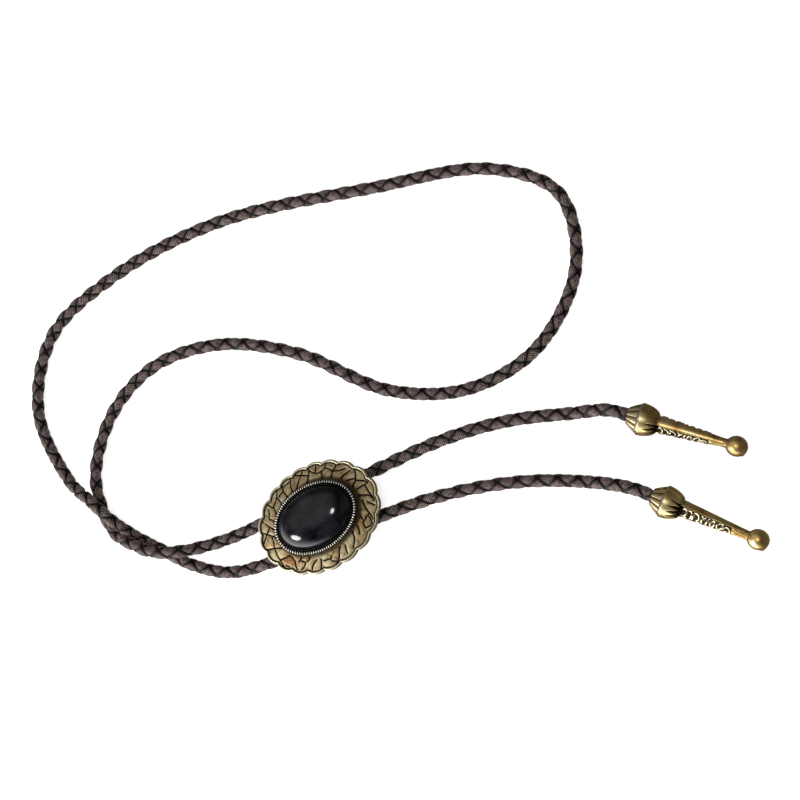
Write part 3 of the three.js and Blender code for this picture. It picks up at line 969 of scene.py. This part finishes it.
@dataclass
class LeatherCord:
    """The round braid of four laces, from the upper tip through the clasp and back to the lower tip."""

    first_tip: CastTip
    last_tip: CastTip
    diameter: float = 4.4 * MM
    floor_gap: float = 0.05 * MM
    crossing_rise: float = 5.2 * MM
    lead_length: float = 6.6 * MM
    lead_droop: float = 0.3 * MM
    socket_cord_gap: float = 0.4 * MM
    braid_lead: float = 14.6 * MM
    lace_height: float = 1.0 * MM
    lace_half_width_mm: float = 1.9
    lace_half_run_mm: float = 2.5
    braid_proud: float = 0.27 * MM
    lattice: int = 24
    steps_per_stretch: int = 160
    clasp_turn: float = np.radians(23.1)
    channel_spacing: float = 15.4 * MM
    channel_height: float = 3.5 * MM
    clasp_length: float = 16.0 * MM
    # Millimetres along and across, and the share of the crossing's rise. Four places at the crossing
    # lie up to 0.6 mm off the frame's cord, so that the two strands press on each other
    upper_leg: Route = ((92, 36.4, 0), (69, 34.1, 0), (44.9, 27.7, 0))
    loop_route: Route = (
        (-35.6, -7, 0), (-48.4, -11, 0.25), (-57.5, -12.8, 0.94), (-67.5, -12.7, 0.94),
        (-75.6, -10.2, 0.65), (-84.0, -6.3, 0.18), (-90.1, 3, 0), (-93.1, 17, 0), (-86.2, 39.4, 0),
        (-69.4, 56.6, 0), (-42.7, 64.3, 0), (-11, 60.2, 0), (25.1, 45.8, 0), (55.1, 46, 0),
        (80.2, 60.2, 0), (94.1, 87.9, 0), (88.2, 114.5, 0), (63, 124.6, 0), (18.1, 120.1, 0),
        (-43.7, 110.1, 0), (-87, 91, 0), (-112.4, 69.2, 0), (-117.7, 40, 0), (-104, 14, 0.14),
        (-93.1, 6.2, 0.9), (-84.7, -0.5, 0.95), (-76.5, -6.8, 0.1), (-66.7, -11.5, 0),
        (-51.9, -17.9, 0), (-36, -20.2, 0),
    )
    lower_leg: Route = ((43.9, 7.6, 0), (73, 12.5, 0), (98, 12.4, 0))

    def lay(self, rows: Route) -> Array:
        """Turn route rows into places on the surface.

        Args:
            rows: Millimetres along and across, and the share of the crossing's rise.

        Returns:
            Places in metres.
        """
        table = np.array(rows, dtype=float)
        rest = self.diameter / 2 + self.floor_gap
        return np.column_stack([table[:, :2] * MM, rest + table[:, 2] * self.crossing_rise])

    def tip_lead(self, tip: CastTip) -> Array:
        """Give the two places that lead straight out of a tip's socket.

        Args:
            tip: The tip.

        Returns:
            The place in the socket and the place outside it.
        """
        inside = tip.at_station(tip.socket_depth - self.socket_cord_gap)
        outside = tip.at_station(-self.lead_length) - [0.0, 0.0, self.lead_droop]
        return np.stack([inside, outside])

    def channel_pass(self, channel: Channel) -> Array:
        """Give the two places just outside a channel of the clasp, right end first.

        Args:
            channel: The channel that the cord runs through.

        Returns:
            The two places.
        """
        reach = self.clasp_length / 2 + self.diameter / 2
        offset = channel.value * self.channel_spacing / 2
        ends = [[x, offset, self.channel_height] for x in (reach, -reach)]
        return turned(np.array(ends), self.clasp_turn)

    def control_places(self) -> Array:
        """String the whole route together, from the upper tip to the lower tip.

        Returns:
            Places in metres.
        """
        return np.concatenate([
            self.tip_lead(self.first_tip), self.lay(self.upper_leg), self.channel_pass(Channel.FAR),
            self.lay(self.loop_route), self.channel_pass(Channel.NEAR)[::-1],
            self.lay(self.lower_leg),
            self.tip_lead(self.last_tip)[::-1],
        ])

    def centre_line(self, step: float) -> tuple[Array, Array]:
        """Run a smooth curve through the route and step along it evenly.

        Each stretch is a cubic whose end slopes come from the square roots of the distances between
        neighbouring places, so it doesn't overshoot, and it is kept above the surface.

        Args:
            step: The distance between places.

        Returns:
            The distances along the cord and the places, in metres.
        """
        knots = self.control_places()
        knots = np.concatenate([[2 * knots[0] - knots[1]], knots, [2 * knots[-1] - knots[-2]]])
        root = np.linalg.norm(np.diff(knots, axis=0), axis=1)[:, None] ** 0.5
        chord = np.diff(knots, axis=0)
        wide = (knots[2:] - knots[:-2]) / (root[:-1] + root[1:])
        slope = chord[:-1] / root[:-1] - wide + chord[1:] / root[1:]
        start, end = knots[1:-2, None], knots[2:-1, None]
        leave, arrive = (slope[:-1] * root[1:-1])[:, None], (slope[1:] * root[1:-1])[:, None]
        share = np.linspace(0.0, 1.0, self.steps_per_stretch, endpoint=False)[None, :, None]
        fine = (
            start + leave * share
            + (3 * (end - start) - 2 * leave - arrive) * share ** 2
            + (2 * (start - end) + leave + arrive) * share ** 3
        ).reshape(-1, 3)
        fine = np.concatenate([fine, knots[-2:-1]])
        fine[:, 2] = np.maximum(fine[:, 2], self.diameter / 2 + self.floor_gap)
        length = np.concatenate([[0.0], np.cumsum(np.linalg.norm(np.diff(fine, axis=0), axis=1))])
        even = np.arange(0.0, length[-1], step)
        return even, np.stack([np.interp(even, length, fine[:, axis]) for axis in range(3)], axis=1)

    def build(self, material: bpy.types.Material) -> bpy.types.Object:
        """Braid the cord's surface around its centre line.

        Two laces wind each way. A lace's phase is the angle around the cord less or plus the turns
        so far, and the mesh's points stand on a lattice of both phases, so the laces' edges fall on
        mesh edges. A point's radius is the core's plus the upper lace's crown: the square root of one
        less the share across it to the power 2.6, sinking to where it dives. The braid shows a zigzag
        between two columns of laces on top, twists slowly along the cord, and is pressed flat where
        it rests on the paper.

        Args:
            material: Its finish.

        Returns:
            The piece.
        """
        count = self.lattice
        row_step = self.braid_lead / (2 * count)
        distance, centre = self.centre_line(row_step)
        rows = len(distance)
        ahead = np.gradient(centre, axis=0)
        ahead /= np.linalg.norm(ahead, axis=1, keepdims=True)
        side = np.cross(np.array([0.0, 0.0, 1.0]), ahead)
        side /= np.linalg.norm(side, axis=1, keepdims=True)
        above = np.cross(ahead, side)

        row, column = np.meshgrid(np.arange(rows), np.arange(count), indexing="ij")
        first_share, second_share, first_on_top = self.lace_shares(column, row)
        across = np.where(first_on_top, first_share, second_share)
        along = np.where(first_on_top, second_share, first_share)
        crown = np.where(
            (np.abs(across) > 0.999) | (np.abs(along) > 0.999), 0.0,
            np.clip(1 - np.abs(across) ** 2.6, 0, 1) ** 0.5 * (1 - 0.42 * np.abs(along) ** 2.4),
        )
        core = self.diameter / 2 + self.braid_proud - self.lace_height
        # Hand braiding swells and turns a little, over lengths that don't fall in step
        unevenness = 1 + 0.015 * np.sin(distance / (31 * MM)) * np.sin(distance / (83 * MM) + 1.3)
        radius = (core + self.lace_height * crown) * unevenness[:, None]
        twist = 0.3 * np.sin(distance / (47 * MM)) + 0.22 * np.sin(distance / (19 * MM) + 2.0)
        angle = (column + row / 2 + count / 8) * 2 * np.pi / count + twist[:, None]
        places = (
            centre[:, None] + (radius * np.cos(angle))[..., None] * side[:, None]
            + (radius * np.sin(angle))[..., None] * above[:, None]
        )
        places[..., 2] = np.maximum(places[..., 2], self.floor_gap)
        cord = self.skin(places, crown, row, column, centre)
        dress(cord, material)
        return cord

    def lace_shares(self, column: Array, row: Array) -> tuple[Array, Array, Array]:
        """Place lattice points on the two laces that cross there.

        A lace is half the lattice wide in its own phase. Where the two laces' numbers add up to an
        even number, the one that winds with the angle is on top.

        Args:
            column: Lattice steps of the first phase.
            row: Steps along the cord, which add to the first phase to give the second.

        Returns:
            The shares across the lace that winds with the angle and across the other one, from minus
            one to one, and whether the first of them is on top.
        """
        first = column * 2 / self.lattice + 0.5
        second = (column + row) * 2 / self.lattice + 0.5
        first_share = 2 * (first - np.floor(first)) - 1
        second_share = 2 * (second - np.floor(second)) - 1
        return first_share, second_share, (np.floor(first) + np.floor(second)) % 2 == 0

    def skin(self, places: Array, crown: Array, row: Array, column: Array, centre: Array) -> bpy.types.Object:
        """Skin the lattice with triangles and map each to the lace that it belongs to.

        Args:
            places: The lattice points, in metres.
            crown: Each point's height share, kept as the attribute proud.
            row: Each point's step along the cord.
            column: Each point's step around it.
            centre: The centre line's places, one for each row.

        Returns:
            The piece.
        """
        rows, count = row.shape
        index = np.arange(rows * count).reshape(rows, count)
        beside = np.roll(index, -1, axis=1)
        lower = np.stack([index[:-1], beside[:-1], index[1:]], axis=-1)
        upper = np.stack([beside[:-1], beside[1:], index[1:]], axis=-1)
        triangles = np.concatenate([lower.reshape(-1, 3), upper.reshape(-1, 3)])
        corner_row = np.concatenate([
            np.stack([row[:-1], row[:-1], row[1:]], axis=-1).reshape(-1, 3),
            np.stack([row[:-1], row[1:], row[1:]], axis=-1).reshape(-1, 3),
        ])
        corner_column = np.concatenate([
            np.stack([column[:-1], column[:-1] + 1, column[:-1]], axis=-1).reshape(-1, 3),
            np.stack([column[:-1] + 1, column[:-1] + 1, column[:-1]], axis=-1).reshape(-1, 3),
        ])
        middle_column = corner_column.mean(axis=1, keepdims=True)
        middle_row = corner_row.mean(axis=1, keepdims=True)
        first_middle, second_middle, first_on_top = self.lace_shares(middle_column, middle_row)
        half = self.lattice / 4
        first_share = first_middle + (corner_column - middle_column) / half
        second_share = second_middle + (corner_column - middle_column + corner_row - middle_row) / half
        lace_map = np.stack([
            np.where(first_on_top, second_share, first_share) * self.lace_half_run_mm,
            np.where(first_on_top, first_share, second_share) * self.lace_half_width_mm,
        ], axis=-1)

        ends = np.array([rows * count, rows * count + 1])
        caps = np.concatenate([
            np.stack([beside[0], index[0], np.full(count, ends[0])], axis=-1),
            np.stack([index[-1], beside[-1], np.full(count, ends[1])], axis=-1),
        ])
        mesh = bpy.data.meshes.new("leather_cord")
        points = np.concatenate([places.reshape(-1, 3), centre[:1], centre[-1:]])
        mesh.from_pydata(points, [], np.concatenate([triangles, caps]).tolist())
        layer = mesh.attributes.new("proud", "FLOAT", "POINT")
        layer.data.foreach_set("value", np.concatenate([crown.ravel(), [0.0, 0.0]]).astype(np.float32))
        flat_map = np.concatenate([lace_map.reshape(-1, 2), np.zeros((len(caps) * 3, 2))])
        mesh.uv_layers.new(name="lace").data.foreach_set("uv", flat_map.astype(np.float32).ravel())
        mesh.shade_smooth()
        cord = bpy.data.objects.new("leather_cord", mesh)
        bpy.context.collection.objects.link(cord)
        return cord

    def declare(self, cord: bpy.types.Object) -> None:
        """Attach the cord to the body and hide the frame's cord; its centre line from tip to tip is stepped
        out but not used.

        Args:
            cord: The braid.
        """
        distance, line = self.centre_line(2.0 * MM)
        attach(cord, BODY)
        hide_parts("cord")


@dataclass
class Concho:
    """The oval plate: scalloped bead, engraved leaf border and a dome up to the setting's seat."""

    length: float = 49.7 * MM
    width: float = 38.9 * MM
    scallop_depth: float = 0.9 * MM
    bead_width: float = 1.05 * MM
    bead_height: float = 0.5 * MM
    rim_height: float = 1.8 * MM
    edge_drop: float = 0.6 * MM
    dome: float = 1.1 * MM
    seat_margin: float = 0.5 * MM
    steps_per_scallop: int = 60
    border_rows: int = 54
    cut_depth: float = 0.34 * MM
    cut_half_width: float = 0.2 * MM
    cut_margin: float = 1.5 * MM
    halo_width: float = 0.6 * MM
    pillow_height: float = 0.12 * MM
    pillow_edge: float = 0.7 * MM
    stain_place: tuple[float, float] = (-17.6 * MM, -8.2 * MM)
    stain_radius: float = 4.2 * MM
    # Where each scallop's crest lies, as a share of the way around from the plate's right end
    crest_shares: tuple[float, ...] = (
        0, 0.05, 0.0975, 0.145, 0.19, 0.2375, 0.285, 0.33, 0.3775, 0.4325,
        0.485, 0.53, 0.575, 0.6225, 0.67, 0.72, 0.775, 0.8325, 0.89, 0.9425,
    )
    # Engraved strokes in millimetres from the plate's middle, before it is turned
    strokes: tuple[Stroke, ...] = (
        ((-15, 14.2), (-13.9, 12.5), (-13.1, 11.4), (-13.2, 9.8), (-13.5, 8.5)),
        ((-9.2, 16.9), (-9.9, 15), (-11.1, 13.6), (-13, 12)),
        ((-10.6, 14.4), (-10, 13.2), (-9.7, 11.7), (-9.7, 10.9)),
        ((-15.4, 12.3), (-15.7, 10.8), (-16.7, 9), (-15.8, 8.1), (-15.5, 6.8)),
        ((-9.6, 14), (-8.4, 14.6), (-7.1, 14.9)),
        ((-6.6, 16.9), (-6.9, 14.9), (-6.7, 13.7), (-6.5, 12.1)),
        ((-6.2, 16.5), (-4.9, 16.6), (-3.3, 16.7)),
        ((-2.5, 17.8), (-3.1, 16.1), (-3.6, 14.5), (-3.8, 12.5)),
        ((3.1, 17.9), (2, 16.7), (0.5, 15.5), (-0.9, 14.1), (-2.1, 12.8)),
        ((-0.6, 18), (0.8, 17.1), (2.2, 16.4), (4.2, 15)),
        ((5.4, 16.8), (4.5, 15), (3.4, 13.6), (2.6, 12.4)),
        ((5.5, 16.3), (6.4, 14.9), (7.5, 14.1), (8.9, 13.8), (10.4, 14), (11.6, 14.8), (12.2, 15.5)),
        ((8.3, 16.5), (7.7, 15.5), (7.1, 14.2)), ((9.4, 13.7), (9, 12.3), (8.6, 11.1)),
        ((11.4, 14.1), (12.4, 13.1), (13.2, 11.6)),
        ((15.5, 13.3), (14.6, 12.4), (13.6, 11.9), (12.7, 11), (11.4, 9.7)),
        ((13.6, 11.6), (14.8, 10.9), (16.2, 10.4), (17.7, 10.1)),
        ((18.9, 8.5), (17.7, 8.3), (16.2, 8.2), (14.8, 7.6)),
        ((20.6, 7.9), (20.3, 6.6), (19.8, 5.4), (19.2, 4.3)), ((19.2, 5), (18, 5.4), (16.5, 5.8)),
        ((18.9, 4), (17.9, 3.4), (17, 2.5)), ((19.4, 4.2), (20.6, 3.4), (21.9, 2.5), (22.7, 1.7)),
        ((22.5, 1.4), (21.4, 1.3), (20, 1.3), (18.2, 1.2)),
        ((21.4, 0.8), (21.4, -0.5), (21.5, -2.3), (21.7, -3.9), (21.6, -5.4)),
        ((17.5, -1.2), (18.9, -1.7), (20.2, -2.4), (21.1, -3.2), (21.6, -4.2)),
        ((19.4, -4.6), (20, -5.7), (21, -6.8)),
        ((17.9, -3.3), (17.7, -5.6), (17.8, -7.6), (18, -9.3), (17.9, -10.9)),
        ((14.6, -7.5), (14.7, -8.8), (14.8, -9.8), (14.2, -10.7), (14, -12.4)),
        ((17.4, -8.7), (16.4, -9), (15.6, -9.7)),
        ((14.2, -12.4), (15.7, -12.5), (16.8, -12.1), (17.1, -10.9), (17.2, -9.4)),
        ((-18.9, 8.3), (-18.4, 7), (-17.6, 5.8), (-16.9, 4.8)),
        ((-18.1, 6.3), (-19.3, 5.3), (-20.4, 4.5), (-21.7, 3.5), (-23.4, 2.3)),
        ((-21.4, 5.8), (-20.3, 4.5), (-18.9, 3.2), (-17.9, 2), (-17.6, 1.1)),
        ((-19, 2.5), (-19.3, 0.7), (-20, -0.9), (-20.5, -3.8), (-20.5, -5.4), (-20.5, -6.7), (-20.4, -9.1)),
        ((-23.8, 0.2), (-22, -0.7), (-20.2, -1.3), (-17.5, -2.6)),
        ((-16.2, -6.6), (-17.7, -6.5), (-20.1, -6.1)),
        ((-16.1, -6.8), (-15.6, -8.1), (-15.5, -9.4), (-16.1, -10.7), (-16.4, -12.3)),
        ((-19.4, -8.9), (-18.6, -10)), ((-11.9, -9.1), (-13, -9.8), (-14.1, -10.3)),
        ((-13.1, -10.6), (-12.2, -11.7), (-13.3, -12.7), (-15, -13.2)),
        ((-9.1, -10.4), (-10, -11.4), (-11.4, -11.8)),
        ((-7.8, -13.1), (-9.4, -13.6), (-10.7, -14.4), (-11.4, -15.2)),
        ((-6.2, -13.7), (-7.2, -15.3), (-8.5, -16.9)),
        ((-2.4, -14.7), (-3.1, -15.6), (-2.7, -16.5), (-1.8, -17.1)),
        ((-5.6, -14.8), (-4.5, -14.9), (-3.1, -15.3)),
        ((2.4, -13.5), (1.1, -14.7), (0.1, -16.3), (-1.2, -17.3), (-2.5, -18.1)),
        ((4.3, -13.9), (3.8, -15.4), (3.4, -16.8)),
        ((9.1, -10.9), (8.9, -12.3), (8.6, -13.5), (7.7, -14.7), (6.2, -16.3)),
        ((11.9, -10.1), (11.6, -11.6), (11, -13.2)), ((-19.8, 9.7), (-19.4, 9)),
    )

    def rim_shares(self) -> tuple[Array, Array]:
        """Step around the rim, equally often within each scallop.

        Returns:
            Shares of the way around, and how high the scallop's lobe is there: the cosine of half a
            turn a scallop, to the power 0.8.
        """
        crests = np.array([*self.crest_shares, 1.0])
        step = np.arange(self.steps_per_scallop) / self.steps_per_scallop
        shares = crests[:-1, None] + np.diff(crests)[:, None] * step[None]
        lobe = np.abs(np.cos(np.pi * step)) ** 0.8
        return shares.ravel(), np.tile(lobe, len(self.crest_shares))

    def build(self, material: bpy.types.Material) -> bpy.types.Object:
        """Skin the plate from its back out over the bead and in across the engraved border.

        The bead is half a round between the edge and its foot. On the border a ring lies a share of
        the way from the seat's oval to the foot and falls by the share to the power 1.5. Each cut is
        a bell of the distance from its stroke, and the metal between cuts swells like a pillow.

        Args:
            material: Its finish.

        Returns:
            The piece.
        """
        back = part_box("concho_plate")[0][2]
        rim_top = back + self.rim_height
        seat_height = rim_top + self.dome
        shares, lobe = self.rim_shares()
        scallop = self.scallop_depth * lobe
        plain, outward = Oval(
            self.length / 2 - self.scallop_depth, self.width / 2 - self.scallop_depth).stations(shares)
        seat_reach = SETTING_REACH + self.seat_margin
        seat, _ = Oval(STONE_HALF_LENGTH + seat_reach, STONE_HALF_WIDTH + seat_reach).stations(shares)

        round_over = np.linspace(0.0, np.pi, 15)[1:-1]
        bead_inset = self.bead_width / 2 * (1 - np.cos(round_over))
        bead_base = rim_top - self.edge_drop + (self.edge_drop - self.cut_depth) * round_over / np.pi
        bead_top = bead_base + (rim_top + self.bead_height - bead_base) * np.sin(round_over)
        inset = np.concatenate([[self.edge_drop, 0.12 * MM, 0.0, 0.0], bead_inset])
        level = np.concatenate([
            [back, back + 0.3 * MM, back + self.edge_drop, rim_top - self.edge_drop], bead_top])
        rim_flat = plain[None] + outward[None] * (scallop[None] - inset[:, None])[..., None]
        rim = np.concatenate([rim_flat, np.repeat(level[:, None, None], len(shares), axis=1)], axis=-1)

        share = np.linspace(1.0, 0.0, self.border_rows)[:, None]
        reach = share ** 2 * scallop[None] - self.bead_width
        foot = plain[None] + outward[None] * reach[..., None]
        border_flat = seat[None] + (foot - seat[None]) * share[..., None]
        stroke_gap, foot_gap = self.cut_distances(border_flat, foot[0])
        near = np.minimum(stroke_gap, foot_gap)
        cut = bell(near, self.cut_half_width)
        pillow = self.pillow_height * (1 - bell(near, self.pillow_edge))
        in_border = smoothstep(0.0, 0.1, share)
        relief = (pillow - self.pillow_height - self.cut_depth * cut) * in_border
        fall = seat_height + (rim_top - seat_height) * share ** 1.5
        border = np.concatenate([border_flat, (fall + relief)[..., None]], axis=-1)
        rings = turned(np.concatenate([rim, border]), CONCHO_TURN)

        cut_patina = smoothstep(1.75, 0.55, near / self.cut_half_width) + 0.25 * bell(near, self.halo_width)
        # Next to the setting the border darkens all round: painted shade at the setting's foot, together with
        # the bath's dark gathered there
        border_patina_and_shade = cut_patina * in_border + 0.75 * smoothstep(0.28, 0.0, share)
        # Painted highlight: a pale line half a millimetre off each cut, where the edges of the cells would
        # catch the light
        border_painted_highlight = 0.3 * bell(near - 0.5 * MM, 0.25 * MM) * smoothstep(0.25, 0.9, share)
        stain_gap = np.linalg.norm(border_flat - np.array(self.stain_place), axis=-1)
        rim_patina = np.concatenate([[0.6, 0.5, 0.3, 0.15], smoothstep(2.3, 2.9, round_over)])
        rim_rubbed = np.concatenate([[0.0, 0.3, 0.6, 0.8], smoothstep(2.7, 2.2, round_over)])
        rim_columns = np.ones((1, len(shares)))
        shades = {
            "patina_and_shade": np.concatenate([rim_patina[:, None] * rim_columns, np.clip(border_patina_and_shade, 0.0, 1.0)]),
            "rubbed_and_highlight": np.concatenate([rim_rubbed[:, None] * rim_columns, border_painted_highlight]),
            "tarnish": np.concatenate([np.zeros(rim.shape[:2]), bell(stain_gap, self.stain_radius)]),
        }
        piece = lofted_piece("engraved_concho", rings, shades)
        dress(piece, material)
        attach(piece, BODY)
        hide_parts("concho_plate")
        return piece

    def cut_distances(self, border: Array, foot: Array) -> tuple[Array, Array]:
        """Measure how far the border's points lie from the strokes and from the bead's foot.

        Args:
            border: The border's places, two numbers each.
            foot: The closed line at the bead's foot.

        Returns:
            The distances to the nearest stroke and to the foot.
        """
        flat = border.reshape(-1, 2)
        near = np.full(len(flat), np.inf)
        for stroke in self.strokes:
            line = smooth_stroke(np.array(stroke) * MM, 4)
            low, high = line.min(axis=0) - self.cut_margin, line.max(axis=0) + self.cut_margin
            close = np.all((flat > low) & (flat < high), axis=1)
            near[close] = np.minimum(near[close], curve_distance(flat[close], line))
        # The foot lies along the border's outer rows, and every sixth of its places is enough there
        outer_rows = len(border) // 3
        foot_gap = np.full(border.shape[:2], np.inf)
        ring = np.concatenate([foot[::6], foot[:1]])
        foot_gap[:outer_rows] = curve_distance(
            border[:outer_rows].reshape(-1, 2), ring).reshape(outer_rows, -1)
        return near.reshape(border.shape[:2]), foot_gap


@dataclass
class MilledSetting:
    """The stone's cup: thin wall around the stone, groove, and a milled ring of teeth."""

    teeth: int = 96
    steps_per_tooth: int = 12
    tooth_depth: float = 0.5 * MM
    wall_inside: float = 0.3 * MM
    wall_outside: float = 0.65 * MM
    ring_inside: float = 0.95 * MM
    ring_outside: float = SETTING_REACH
    ring_drop: float = 0.15 * MM
    crown_rise: float = 0.55 * MM
    groove_depth: float = 0.9 * MM
    floor: float = 0.8 * MM

    def build(self, material: bpy.types.Material) -> bpy.types.Object:
        """Skin the cup from its underside out over the teeth, across the groove and down inside.

        A tooth is a rounded lobe: the sine of half a turn a tooth to the power 0.8, and what it
        lacks of one is cut away from the ring's crown. The wall's lip is notched as finely.

        Args:
            material: Its finish.

        Returns:
            The piece.
        """
        low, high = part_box("bezel_cup")
        base, top = low[2], high[2]
        count = self.teeth * self.steps_per_tooth
        plain, outward = Oval(STONE_HALF_LENGTH, STONE_HALF_WIDTH).stations(np.arange(count) / count)
        tooth = np.abs(np.sin(np.pi * np.arange(count) / self.steps_per_tooth)) ** 0.8
        gap = 1.0 - tooth
        middle = (self.ring_inside + self.ring_outside) / 2
        half = (self.ring_outside - self.ring_inside) / 2
        crown = np.radians(np.linspace(0.0, 180.0, 15))
        offsets = np.concatenate([
            [self.ring_outside - self.tooth_depth, self.ring_outside - 0.2 * MM],
            middle + half * np.cos(crown),
            [self.ring_inside, self.wall_outside, self.wall_outside - 0.02 * MM],
            [self.wall_outside - 0.12 * MM, self.wall_inside + 0.1 * MM, self.wall_inside],
            [self.wall_inside],
        ])
        ring_top = top - self.ring_drop
        heights = np.concatenate([
            [base, base + 0.25 * MM],
            ring_top - self.crown_rise + self.crown_rise * np.sin(crown),
            [top - self.groove_depth, top - self.groove_depth, top - 0.3 * MM],
            [top, top, top - 0.25 * MM],
            [base + self.floor],
        ])
        toothed = np.concatenate([
            [0.0, 0.5], np.where(np.sin(crown) > 0.05, 1.0, 0.6), [0.0, 0.0, 0.1, 0.3, 0.3, 0.0, 0.0],
        ])
        inward = np.concatenate([
            [0.0, 1.0], np.cos(crown), [0.0, 0.0, 0.0, 1.0, 0.0, 0.0, 0.0],
        ])
        bite = self.tooth_depth * toothed[:, None] * gap[None]
        offset = offsets[:, None] - bite * inward[:, None]
        height = heights[:, None] - bite * np.sqrt(np.clip(1 - inward ** 2, 0, 1))[:, None]
        flat = plain[None] + outward[None] * offset[..., None]
        rings = turned(np.concatenate([flat, height[..., None]], axis=-1), CONCHO_TURN)
        plain_shade = np.concatenate([
            [0.8, 0.6], np.interp(np.cos(crown), [-1, -0.7, 0.7, 1], [0.9, 0.05, 0.0, 0.45]),
            [1.0, 1.0, 0.95, 0.68, 0.62, 0.9, 1.0],
        ])
        patina_and_shade = np.clip(plain_shade[:, None] + toothed[:, None] * smoothstep(0.16, 0.5, gap)[None], 0, 1)
        piece = lofted_piece("milled_setting", rings, {"patina_and_shade": patina_and_shade})
        dress(piece, material)
        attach(piece, BODY)
        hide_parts("bezel_cup")
        return piece


@dataclass
class Cabochon:
    """The oval stone: a straight edge under a smooth dome."""

    edge_height: float = 1.4 * MM
    edge_round: float = 0.2 * MM
    around: int = 160
    dome_rows: int = 60

    def build(self, material: bpy.types.Material) -> bpy.types.Object:
        """Skin the stone up its edge and over its dome, a quarter of an ellipse in every section.

        Args:
            material: Its finish.

        Returns:
            The piece.
        """
        low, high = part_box("stone")
        rise = high[2] - low[2] - self.edge_height
        lift = np.linspace(0.0, np.pi / 2 - 0.01, self.dome_rows)
        reach = np.concatenate([[0.985, 1.0], np.cos(lift)])
        height = np.concatenate([
            [low[2], low[2] + self.edge_round], low[2] + self.edge_height + rise * np.sin(lift)])
        angle = np.linspace(0.0, 2 * np.pi, self.around, endpoint=False)
        rings = np.stack([
            STONE_HALF_LENGTH * reach[:, None] * np.cos(angle),
            STONE_HALF_WIDTH * reach[:, None] * np.sin(angle),
            np.repeat(height[:, None], self.around, axis=1),
        ], axis=-1)
        piece = lofted_piece("black_cabochon", turned(rings, CONCHO_TURN))
        dress(piece, material)
        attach(piece, BODY)
        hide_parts("stone")
        return piece


@dataclass
class SlideClasp:
    """The slide under the concho, whose shape is the frame's own solid."""

    node: str = "slide_clasp"

    def build(self, material: bpy.types.Material) -> bpy.types.Object:
        """Find the solid and dress it.

        Args:
            material: Its finish.

        Returns:
            The piece.
        """
        clasp = bpy.data.objects[self.node]
        dress(clasp, material)
        return clasp


def main() -> None:
    """Build the studio and every piece of the tie, in order."""
    logging.basicConfig(level=logging.INFO)
    studio = Studio()
    studio.place_camera()
    upper = CastTip(
        name="cast_tip_upper", node="tip_upper", collar_place=(117.4 * MM, 34.0 * MM),
        heading=np.radians(-16.5), panel_turn=np.radians(58),
    )
    lower = CastTip(
        name="cast_tip_lower", node="tip_lower", collar_place=(125.6 * MM, 5.6 * MM),
        heading=np.radians(-22.4), panel_turn=np.radians(27),
    )
    cord_maker = LeatherCord(first_tip=upper, last_tip=lower)
    cord = cord_maker.build(BraidedLeather().build())
    cast_brass = CAST_BRASS.build()
    tips = [tip.build(cast_brass) for tip in (upper, lower)]
    cord_maker.declare(cord)
    plate = Concho().build(SHEET_BRASS.build())
    setting = MilledSetting().build(BrightSilverPlate().build())
    stone = Cabochon().build(PolishedBlackStone().build())
    clasp = SlideClasp().build(SATIN_BRASS.build())
    for piece in (cord, *tips, plate, setting, stone, clasp):
        LOG.info("%s has %d faces", piece.name, len(piece.data.polygons))
    studio.light()
    studio.lay_paper()


if __name__ == "__main__":
    main()
